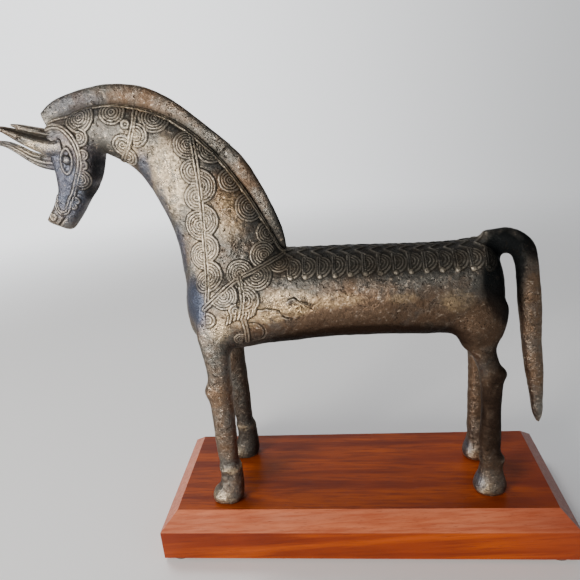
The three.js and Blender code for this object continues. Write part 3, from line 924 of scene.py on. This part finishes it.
def loft_piece(name, rings, material, groove, swell):
    v, faces = skin(rings)
    mesh = new_mesh(name, v, faces)
    n, e = normals(mesh), edges(mesh)
    # slow swells and small dents, shifted inwards so that none stands proud of the CAD
    v = v + n * (swell * (noise(v, 13, 4) + 0.4 * noise(v, 3.5, 5) - 1.5))[:, None]
    put_vertices(mesh, v)
    values = {**patina_and_painted_light(v), "groove": groove.ravel(), "convex": bend(v, e, normals(mesh), 1)}
    bpy.data.meshes.remove(mesh)
    finished(name, v, faces, None, values, material)


def round_and_along(rings):
    """The angle of each point round its ring, and how far along the piece each ring is."""
    count, around = rings.shape[:2]
    angle = (np.arange(around) + 0.5) / around * 2 * np.pi
    return angle[None], np.linspace(0, 1, count)[:, None]


def crest_piece(name, stations, material):
    rings = loft(stations, step=0.6, segments=72, power=2.6)
    # near the neck the blade sinks into the groove behind the wires
    flat = rings.reshape(-1, 3)[:, ::2]
    gap = np.full(len(flat), FAR)
    for point in catmull(np.array(CREST_LINE), np.linspace(0, len(CREST_LINE) - 1, 160)):
        gap = np.minimum(gap, np.hypot(*(flat - point).T))
    groove = 0.9 * np.clip(1 - (gap - 0.5) / 2.2, 0, 1)
    loft_piece(name, rings, material, groove, swell=0.25)


def ear_piece(name, side, material):
    rings = loft(EAR, step=0.5, segments=64, power=2)
    angle, run = round_and_along(rings)
    half = np.abs(rings[..., 1]).max(1, keepdims=True)
    hollow = np.exp(-(((np.cos(angle) - 0.66) / 0.3) ** 2)) * np.clip(np.sin(angle), 0, 1)
    hollow = hollow * ramp(0.02, 0.2, run) * (1 - ramp(0.7, 0.98, run))
    rings[..., 1] -= EAR_HOLLOW * half * hollow
    rings[..., 1] = side * (rings[..., 1] + EAR_OUT)
    if side < 0:
        rings, hollow = rings[:, ::-1], hollow[:, ::-1]
    loft_piece(name, rings, material, hollow, swell=0.12)


def forelock_piece(material):
    rings = loft(FORELOCK, step=0.5, segments=64, power=2)
    angle, run = round_and_along(rings)
    # two grooves run down each side
    cut = sum(np.exp(-(((np.cos(angle) - at) / 0.2) ** 2)) for at in FORELOCK_GROOVES)
    cut = cut * (1 - ramp(0.75, 1, run)) * np.abs(np.sin(angle))
    middle = rings.mean(1, keepdims=True)
    rings = middle + (rings - middle) * (1 - FORELOCK_CUT * cut[..., None])
    loft_piece("forelock", rings, material, 0.6 * cut, swell=0.12)


# --- finishes


class Tree:
    """Short names for building a material's nodes."""

    def __init__(self, name):
        self.material = bpy.data.materials.new(name)
        self.material.use_nodes = True
        self.nodes = self.material.node_tree.nodes
        self.links = self.material.node_tree.links
        self.shader = self.nodes["Principled BSDF"]

    @classmethod
    def on(cls, world):
        made = cls.__new__(cls)
        world.use_nodes = True
        made.nodes, made.links = world.node_tree.nodes, world.node_tree.links
        return made

    def node(self, kind, inputs=(), **settings):
        made = self.nodes.new(kind)
        for key, value in settings.items():
            setattr(made, key, value)
        for key, value in dict(inputs).items():
            self.feed(made.inputs[key], value)
        return made

    def feed(self, socket, value):
        if isinstance(value, bpy.types.NodeSocket):
            self.links.new(value, socket)
        else:
            socket.default_value = value

    def put(self, name, value):
        self.feed(self.shader.inputs[name], value)

    def value(self, name):
        return self.node("ShaderNodeAttribute", attribute_name=name).outputs["Fac"]

    def place(self, stretch=(1, 1, 1)):
        """Millimetres on the object, stretched."""
        where = self.node("ShaderNodeTexCoord").outputs["Object"]
        scale = [1000 * s for s in stretch]
        return self.node("ShaderNodeMapping", {"Vector": where, "Scale": scale}).outputs["Vector"]

    def noise(self, where, size, detail=3.0, roughness=0.55, twist=0.0):
        inputs = {"Vector": where, "Scale": 1 / size, "Detail": detail}
        inputs["Roughness"], inputs["Distortion"] = roughness, twist
        return self.node("ShaderNodeTexNoise", inputs).outputs["Fac"]

    def cells(self, where, size):
        inputs = {"Vector": where, "Scale": 1 / size}
        return self.node("ShaderNodeTexVoronoi", inputs).outputs["Distance"]

    def maths(self, operation, *values, clamp=False):
        inputs = dict(enumerate(values))
        return self.node("ShaderNodeMath", inputs, operation=operation, use_clamp=clamp).outputs[0]

    def times(self, a, b, clamp=False):
        return self.maths("MULTIPLY", a, b, clamp=clamp)

    def plus(self, a, b, clamp=False):
        return self.maths("ADD", a, b, clamp=clamp)

    def minus(self, a, b, clamp=False):
        return self.maths("SUBTRACT", a, b, clamp=clamp)

    def between(self, value, low, high, start=0.0, end=1.0):
        inputs = {"Value": value, "From Min": low, "From Max": high, "To Min": start, "To Max": end}
        return self.node("ShaderNodeMapRange", inputs, interpolation_type="SMOOTHSTEP").outputs[0]

    def blend(self, share, a, b):
        made = self.node("ShaderNodeMix", data_type="RGBA")
        self.feed(made.inputs[0], share)
        self.feed(made.inputs[6], a if isinstance(a, bpy.types.NodeSocket) else (*a, 1))
        self.feed(made.inputs[7], b if isinstance(b, bpy.types.NodeSocket) else (*b, 1))
        return made.outputs[2]

    def bump(self, height, distance, strength):
        inputs = {"Height": height, "Distance": distance * MM, "Strength": strength}
        return self.node("ShaderNodeBump", inputs).outputs["Normal"]


def bronze():
    t = Tree("bronze")
    mm = t.place()
    groove, convex = t.value("groove"), t.value("convex")
    warm, dark, pale, blue = (t.value(name) for name in PATINA_AND_PAINTED_LIGHT)
    cloud, blotch = t.noise(mm, 26, 2), t.noise(mm, 7, 5, 0.65, 0.6)
    speck, skin_grain = t.noise(t.place((0.6, 1, 1)), 1.3, 4, 0.7), t.noise(mm, 2.6, 5, 0.72, 0.3)
    # warm brown over grey bronze
    warmth = t.plus(warm, t.between(cloud, 0.35, 0.7, -0.2, 0.5))
    warmth = t.plus(warmth, t.between(blotch, 0.3, 0.7, -0.35, 0.35), clamp=True)
    colour = t.blend(warmth, (0.128, 0.12, 0.106), (0.155, 0.1, 0.064))
    # metal rubbed pale where hands reach, and painted highlights: the bright band along the barrel and
    # the glints on the two ledges
    rub_and_highlight = t.times(pale, t.between(blotch, 0.28, 0.55))
    rub_and_highlight = t.times(rub_and_highlight, t.between(speck, 0.35, 0.55, 0.25, 1.0))
    rubbed = t.blend(warm, (0.54, 0.435, 0.29), (0.56, 0.39, 0.205))
    colour = t.blend(rub_and_highlight, colour, rubbed)
    # painted glints: pale specks standing in for highlights off fine scratches
    painted_glint = t.times(t.between(speck, 0.53, 0.66), t.between(skin_grain, 0.45, 0.6))
    colour = t.blend(t.times(painted_glint, 0.8), colour, (0.56, 0.46, 0.36))
    grime = t.times(t.between(skin_grain, 0.5, 0.34), t.between(speck, 0.6, 0.4))
    colour = t.blend(t.times(grime, 0.6), colour, (0.04, 0.032, 0.024))
    # bluish tints; down the rear of the jaw this is painted shade
    colour = t.blend(t.times(blue, 0.9), colour, (0.062, 0.08, 0.124))
    crown = t.between(convex, 0.15, 0.9, 0, 0.6)
    crown = t.times(crown, t.between(speck, 0.3, 0.6, 0.3, 1.0))
    crown = t.times(crown, t.between(blue, 0.0, 1.0, 1.0, 0.5))
    colour = t.blend(crown, colour, (0.50, 0.44, 0.36))
    # the dark greenish black of the back and rump, and painted shade under the barrel, down the rear of
    # the jaw and on the far foreleg
    shade = t.times(dark, t.between(blotch, 0.25, 0.6, 0.84, 1.08), clamp=True)
    shade = t.minus(shade, t.times(crown, 0.14), clamp=True)
    black = t.blend(warm, (0.0085, 0.0095, 0.0098), (0.024, 0.014, 0.009))
    colour = t.blend(shade, colour, black)
    # darker in the grooves and hollows
    low = t.between(convex, -0.16, -0.7)
    hollow_darkening = t.maths("MAXIMUM", t.times(groove, 0.62), low, clamp=True)
    hollow_darkening = t.times(hollow_darkening, t.between(speck, 0.25, 0.6, 0.5, 1.0))
    colour = t.blend(hollow_darkening, colour, (0.020, 0.017, 0.013))
    # hairline cracks, and pits
    vein = t.maths("ABSOLUTE", t.minus(t.noise(mm, 8, 4, 0.6, 0.5), 0.5))
    vein = t.times(t.between(vein, 0.0, 0.016, 1.0, 0.0), t.between(t.noise(mm, 15, 2), 0.5, 0.6))
    colour = t.blend(t.times(vein, 0.6), colour, (0.022, 0.018, 0.014))
    pit = t.between(t.cells(mm, 1.7), 0.08, 0.3, 1.0, 0.0)
    pit = t.times(pit, t.between(t.noise(mm, 4, 3), 0.5, 0.6))
    colour = t.blend(t.times(pit, 0.75), colour, (0.022, 0.018, 0.014))
    t.put("Base Color", colour)
    rough = t.between(blotch, 0.25, 0.75, 0.27, 0.42)
    rough = t.plus(rough, t.between(hollow_darkening, 0.0, 1.0, 0.0, 0.3))
    rough = t.plus(rough, t.between(shade, 0.0, 1.0, 0.0, 0.16))
    rough = t.minus(rough, t.times(rub_and_highlight, 0.1))
    t.put("Roughness", rough)
    metal = t.minus(0.96, t.times(hollow_darkening, 0.5))
    metal = t.minus(metal, t.times(shade, 0.3), clamp=True)
    t.put("Metallic", metal)
    t.put("Specular Tint", t.blend(shade, (0.62, 0.58, 0.54), (0.24, 0.23, 0.23)))
    t.put("Specular IOR Level", t.between(shade, 0.0, 1.0, 0.35, 0.16))
    height = t.times(blotch, 0.3)
    height = t.maths("MULTIPLY_ADD", skin_grain, 0.8, height)
    height = t.minus(height, t.times(t.maths("MAXIMUM", pit, vein), 0.4))
    t.put("Normal", t.bump(height, 0.95, 0.9))
    return t.material


def mahogany():
    t = Tree("mahogany")
    mm = t.place()
    # the fibres run along the board, and a little across it
    lean = {"Vector": mm, "Rotation": (0.05, 0.07, 0.01)}
    slanted = t.node("ShaderNodeMapping", lean).outputs["Vector"]
    stretch = {"Vector": slanted, "Scale": (0.05, 1, 1)}
    fibre = t.node("ShaderNodeMapping", stretch).outputs["Vector"]
    wide = t.noise(fibre, 9, 3, 0.5, 0.6)
    narrow = t.noise(fibre, 1.5, 4, 0.6)
    hair = t.noise(fibre, 0.4, 2, 0.6)
    cloud = t.noise(mm, 45, 2)
    colour = t.blend(t.between(wide, 0.3, 0.7), (0.135, 0.016, 0.002), (0.38, 0.066, 0.002))
    colour = t.blend(t.between(narrow, 0.4, 0.72, 0, 0.7), colour, (0.10, 0.010, 0.002))
    # the worn, sanded slope round the top is paler, but not where it faces along +X: there the plain
    # wood stays, as painted shade
    facing = t.node("ShaderNodeSeparateXYZ", {0: t.node("ShaderNodeTexCoord").outputs["Normal"]})
    slope = facing.outputs["Z"]
    slanting = t.times(t.between(slope, 0.3, 0.55), t.between(slope, 0.97, 0.85))
    slanting = t.times(slanting, t.between(facing.outputs["X"], 0.2, 0.6, 1.0, 0.0))
    worn = t.blend(t.between(narrow, 0.35, 0.7), (0.56, 0.20, 0.11), (0.42, 0.115, 0.055))
    colour = t.blend(t.times(slanting, 0.7), colour, worn)
    # the board darkens towards both ends; at the end along +X the darkening is painted shade
    along = t.node("ShaderNodeSeparateXYZ", {0: mm}).outputs["X"]
    darker_ends = t.plus(t.between(along, -50, -130, 0, 0.5), t.between(along, 95, 150, 0, 0.6))
    colour = t.blend(darker_ends, colour, (0.17, 0.022, 0.008))
    pore = t.between(hair, 0.6, 0.74)
    colour = t.blend(t.times(pore, 0.5), colour, (0.045, 0.006, 0.002))
    colour = t.blend(t.between(cloud, 0.35, 0.75, 0, 0.35), colour, (0.27, 0.038, 0.004))
    t.put("Base Color", colour)
    rough = t.between(narrow, 0.3, 0.7, 0.30, 0.42)
    t.put("Roughness", t.plus(rough, t.times(pore, 0.2)))
    height = t.minus(t.times(narrow, 0.3), t.times(pore, 0.7))
    t.put("Normal", t.bump(height, 0.08, 0.6))
    t.put("Specular IOR Level", 0.2)
    return t.material


def felt():
    t = Tree("felt")
    mm = t.place()
    fuzz, clump = t.noise(mm, 0.25, 4, 0.7), t.noise(mm, 1.2, 3)
    colour = t.blend(t.between(fuzz, 0.3, 0.7), (0.035, 0.028, 0.024), (0.085, 0.07, 0.06))
    colour = t.blend(t.between(clump, 0.4, 0.7, 0, 0.4), colour, (0.06, 0.05, 0.042))
    t.put("Base Color", colour)
    t.put("Roughness", t.between(fuzz, 0.2, 0.8, 0.85, 1.0))
    t.put("Normal", t.bump(fuzz, 0.25, 0.9))
    t.put("Sheen Weight", 0.4)
    return t.material


def steel():
    t = Tree("steel")
    mm = t.place()
    turned, smear = t.noise(t.place((1, 1, 12)), 0.6, 3), t.noise(mm, 2.5, 3, 0.6)
    colour = t.blend(t.between(smear, 0.35, 0.7), (0.56, 0.56, 0.55), (0.40, 0.39, 0.37))
    t.put("Base Color", colour)
    t.put("Roughness", t.between(smear, 0.3, 0.7, 0.22, 0.42))
    t.put("Normal", t.bump(turned, 0.04, 0.5))
    t.put("Metallic", 1.0)
    return t.material


# --- plinth and fittings


FLAT_ANGLE, ARRIS_ANGLE, ARRIS_SEGMENTS = math.radians(1), math.radians(25), 3


def dress(node, material, arris):
    """Gives a CAD node its finish, and softened arrises of that width."""
    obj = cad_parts[node]
    obj.data.materials.clear()
    obj.data.materials.append(material)
    flat = obj.modifiers.new("flat", "DECIMATE")
    flat.decimate_type, flat.angle_limit = "DISSOLVE", FLAT_ANGLE
    soft = obj.modifiers.new("soft", "BEVEL")
    soft.width, soft.segments, soft.angle_limit = arris * MM, ARRIS_SEGMENTS, ARRIS_ANGLE
    soft.limit_method, soft.harden_normals = "ANGLE", True


# --- studio


FLOOR_RADIUS, FLOOR_SIDES = 3, 64
# The floor is solid out to the first reach, and has melted into the pale surroundings at the second.
FLOOR_FADE = (0.4, 1.1)
WORLD_COLOUR, WORLD_STRENGTH = (0.965, 0.98, 1, 1), 2.1
LIGHTS_AIM = Vector((-0.02, 0, 0.15))


def add_floor():
    turns = np.linspace(0, 2 * np.pi, FLOOR_SIDES, endpoint=False)
    rim = [(FLOOR_RADIUS * math.cos(a), FLOOR_RADIUS * math.sin(a), 0) for a in turns]
    faces = [[0, i + 1, (i + 1) % FLOOR_SIDES + 1] for i in range(FLOOR_SIDES)]
    floor = add_object("floor", new_mesh("floor", [(0, 0, 0), *rim], faces))
    t = Tree("floor")
    colour = t.blend(t.noise(t.place(), 900, 2), (0.92, 0.92, 0.93), (0.95, 0.95, 0.95))
    t.put("Base Color", colour)
    t.put("Roughness", 0.9)
    where = t.node("ShaderNodeTexCoord").outputs["Object"]
    reach = t.node("ShaderNodeVectorMath", {0: where}, operation="LENGTH").outputs["Value"]
    clear = t.node("ShaderNodeBsdfTransparent").outputs[0]
    faded = {0: t.between(reach, *FLOOR_FADE), 1: t.shader.outputs[0], 2: clear}
    mixed = t.node("ShaderNodeMixShader", faded).outputs[0]
    t.feed(t.nodes["Material Output"].inputs["Surface"], mixed)
    floor.data.materials.append(t.material)


def add_world():
    """Pale surroundings, brightest behind the horse and to its left, low down."""
    world = bpy.data.worlds.new("studio")
    bpy.context.scene.world = world
    w = Tree.on(world)
    way = w.node("ShaderNodeSeparateXYZ", {0: w.node("ShaderNodeTexCoord").outputs["Generated"]})
    behind = w.between(way.outputs["Y"], 0.1, 0.8, 0.3, 1.0)
    leftward = w.between(way.outputs["X"], -0.45, 0.55, 1.0, 0.3)
    rightmost = w.between(way.outputs["X"], 0.5, 0.9, 1.0, 0.6)
    level = w.between(way.outputs["Z"], 0.2, 0.6, 1.0, 0.36)
    strength = w.times(w.times(behind, leftward), w.times(level, rightmost))
    background = w.nodes["Background"].inputs
    background["Color"].default_value = WORLD_COLOUR
    w.feed(background["Strength"], w.times(strength, WORLD_STRENGTH))


def add_light(name, at, side, power, colour=(1, 1, 1)):
    data = bpy.data.lights.new(name, "AREA")
    data.shape, data.size, data.energy, data.color = "SQUARE", side, power, colour
    obj = add_object(name, data)
    obj.location = at
    obj.rotation_mode = "QUATERNION"
    obj.rotation_quaternion = (LIGHTS_AIM - Vector(at)).to_track_quat("-Z", "Y")


# --- the whole

metal = bronze()
casting_pieces(metal)
crest_piece("crest_front", FRONT_CREST, metal)
crest_piece("crest_rear", REAR_CREST, metal)
ear_piece("left_ear", -1, metal)
ear_piece("right_ear", 1, metal)
forelock_piece(metal)

wood, pad_felt, screw_steel = mahogany(), felt(), steel()
dress("plinth", wood, arris=0.55)
for corner in ("front_left", "front_right", "rear_left", "rear_right"):
    dress(corner + "_screw", screw_steel, arris=0.12)
    dress(corner + "_washer", screw_steel, arris=0.1)
    dress(corner + "_pad", pad_felt, arris=0.35)

add_floor()
add_world()
add_light("key", (-0.75, -0.95, 0.32), 0.45, 25, (1, 0.95, 0.88))
add_light("fill", (0.9, -0.6, 0.7), 0.8, 1.5, (0.88, 0.94, 1))
add_light("top", (-0.5, 0.4, 1.1), 0.4, 5)
